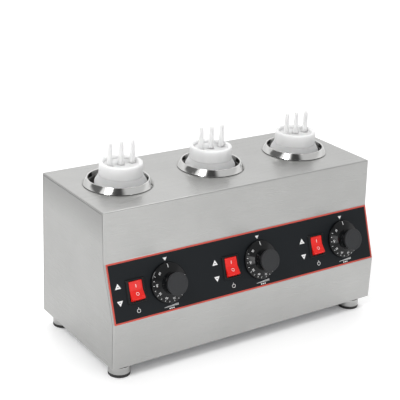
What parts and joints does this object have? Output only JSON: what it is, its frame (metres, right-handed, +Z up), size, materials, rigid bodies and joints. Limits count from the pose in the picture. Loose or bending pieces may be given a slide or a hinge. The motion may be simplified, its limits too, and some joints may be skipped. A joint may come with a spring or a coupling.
{
  "type": "three-bottle sauce warmer",
  "caption": "Counter-top electric sauce warmer: a stainless box with heated wells holding squeeze bottles, and a sloped front panel of rocker switches and dials.",
  "frame": {"origin": "on the floor under the middle of the warmer, level with the undersides of its feet", "axes": "+X to the right seen from the front, along the row of bottles; +Y to the back; +Z up"},
  "size_m": [0.5, 0.261, 0.322],
  "materials": {
    "stainless_brushed": "brushed stainless, fine straight grain",
    "stainless_polished": "polished stainless",
    "stainless_inner": "satin stainless inside",
    "galvanised": "zinc-plated steel",
    "zinc_fastener": "bright zinc",
    "overlay_black": "printed film, satin charcoal",
    "overlay_red": "printed red border",
    "print_white": "white print",
    "black_plastic": "moulded black, satin",
    "red_plastic": "moulded red, gloss",
    "bottle_plastic": "milky polyethylene",
    "cap_plastic": "milky white polyethylene",
    "seal_rubber": "pale silicone",
    "black_rubber": "black rubber",
    "brass": "plain brass",
    "copper_tube": "bare copper capillary",
    "wire_brown": "brown insulation",
    "wire_blue": "blue insulation",
    "wire_green": "green and yellow insulation",
    "block_plastic": "natural nylon"
  },
  "bodies": {
    "chassis": {"top_front_shell": "stainless_brushed", "side_panel_left": "stainless_brushed", "side_panel_right": "stainless_brushed", "back_panel": "stainless_brushed", "base_plate": "galvanised", "panel_overlay": "overlay_black", "overlay_red_border": "overlay_red", "overlay_white_marks": "print_white", "heater_bands": "galvanised", "inside_screws": "zinc_fastener", "thermostats": "galvanised", "thermostat_capillaries": "copper_tube", "switch_terminals": "brass", "foot_pads": "black_rubber", "foot_cups": "stainless_polished", "foot_bolts": "zinc_fastener", "foot_nuts": "zinc_fastener", "casing_screws": "zinc_fastener", "gland_body": "black_plastic", "gland_dome_nut": "black_plastic", "gland_seal": "black_rubber", "gland_locknut": "black_plastic", "terminal_block": "block_plastic", "earth_stud": "brass", "wiring_live": "wire_brown", "wiring_neutral": "wire_blue", "wiring_earth": "wire_green", "well_can_left": "stainless_inner", "well_collar_left": "stainless_polished", "switch_housing_left": "black_plastic", "well_can_middle": "stainless_inner", "well_collar_middle": "stainless_polished", "switch_housing_middle": "black_plastic", "well_can_right": "stainless_inner", "well_collar_right": "stainless_polished", "switch_housing_right": "black_plastic"},
    "knob_left": {"knob_left": "black_plastic", "knob_marks_left": "print_white", "thermostat_spindle_left": "zinc_fastener"},
    "rocker_left": {"rocker_left": "red_plastic", "rocker_marks_left": "print_white"},
    "bottle_left": {"bottle_left": "bottle_plastic"},
    "cap_seal_left": {"cap_seal_left": "seal_rubber"},
    "bottle_cap_left": {"bottle_cap_left": "cap_plastic"},
    "knob_middle": {"knob_middle": "black_plastic", "knob_marks_middle": "print_white", "thermostat_spindle_middle": "zinc_fastener"},
    "rocker_middle": {"rocker_middle": "red_plastic", "rocker_marks_middle": "print_white"},
    "bottle_middle": {"bottle_middle": "bottle_plastic"},
    "cap_seal_middle": {"cap_seal_middle": "seal_rubber"},
    "bottle_cap_middle": {"bottle_cap_middle": "cap_plastic"},
    "knob_right": {"knob_right": "black_plastic", "knob_marks_right": "print_white", "thermostat_spindle_right": "zinc_fastener"},
    "rocker_right": {"rocker_right": "red_plastic", "rocker_marks_right": "print_white"},
    "bottle_right": {"bottle_right": "bottle_plastic"},
    "cap_seal_right": {"cap_seal_right": "seal_rubber"},
    "bottle_cap_right": {"bottle_cap_right": "cap_plastic"}
  },
  "joints": [
    {"name": "knob_turn_left", "type": "hinge", "parent": "chassis", "child": "knob_left", "pos_m": [-0.15, -0.09758, 0.13442], "axis": [0, 0.9449, -0.3273], "range_deg": [0, 285]},
    {"name": "rocker_tip_left", "type": "hinge", "parent": "chassis", "child": "rocker_left", "pos_m": [-0.2055, -0.09569, 0.13377], "axis": [1, 0, 0], "range_deg": [0, 22]},
    {"name": "bottle_lift_left", "type": "slide", "parent": "chassis", "child": "bottle_left", "axis": [0, 0, 1], "range_m": [0, 0.2]},
    {"name": "cap_rise_left", "type": "slide", "parent": "bottle_left", "child": "cap_seal_left", "axis": [0, 0, 1], "range_m": [0, 0.0051]},
    {"name": "cap_turn_left", "type": "hinge", "parent": "cap_seal_left", "child": "bottle_cap_left", "pos_m": [-0.1665, 0.017, 0.2706], "axis": [0, 0, 1], "range_deg": [0, 450]},
    {"name": "knob_turn_middle", "type": "hinge", "parent": "chassis", "child": "knob_middle", "pos_m": [0.02, -0.09758, 0.13442], "axis": [0, 0.9449, -0.3273], "range_deg": [0, 285]},
    {"name": "rocker_tip_middle", "type": "hinge", "parent": "chassis", "child": "rocker_middle", "pos_m": [-0.0355, -0.09569, 0.13377], "axis": [1, 0, 0], "range_deg": [0, 22]},
    {"name": "bottle_lift_middle", "type": "slide", "parent": "chassis", "child": "bottle_middle", "axis": [0, 0, 1], "range_m": [0, 0.2]},
    {"name": "cap_rise_middle", "type": "slide", "parent": "bottle_middle", "child": "cap_seal_middle", "axis": [0, 0, 1], "range_m": [0, 0.0051]},
    {"name": "cap_turn_middle", "type": "hinge", "parent": "cap_seal_middle", "child": "bottle_cap_middle", "pos_m": [-0.0008, 0.0195, 0.2706], "axis": [0, 0, 1], "range_deg": [0, 450]},
    {"name": "knob_turn_right", "type": "hinge", "parent": "chassis", "child": "knob_right", "pos_m": [0.19, -0.09758, 0.13442], "axis": [0, 0.9449, -0.3273], "range_deg": [0, 285]},
    {"name": "rocker_tip_right", "type": "hinge", "parent": "chassis", "child": "rocker_right", "pos_m": [0.1345, -0.09569, 0.13377], "axis": [1, 0, 0], "range_deg": [0, 22]},
    {"name": "bottle_lift_right", "type": "slide", "parent": "chassis", "child": "bottle_right", "axis": [0, 0, 1], "range_m": [0, 0.2]},
    {"name": "cap_rise_right", "type": "slide", "parent": "bottle_right", "child": "cap_seal_right", "axis": [0, 0, 1], "range_m": [0, 0.0051]},
    {"name": "cap_turn_right", "type": "hinge", "parent": "cap_seal_right", "child": "bottle_cap_right", "pos_m": [0.17, 0.019, 0.2706], "axis": [0, 0, 1], "range_deg": [0, 450]}
  ],
  "couplings": [
    {"joint": "cap_rise_left", "follows": "cap_turn_left", "m_per_rad": 0.00063662},
    {"joint": "cap_rise_middle", "follows": "cap_turn_middle", "m_per_rad": 0.00063662},
    {"joint": "cap_rise_right", "follows": "cap_turn_right", "m_per_rad": 0.00063662}
  ]
}
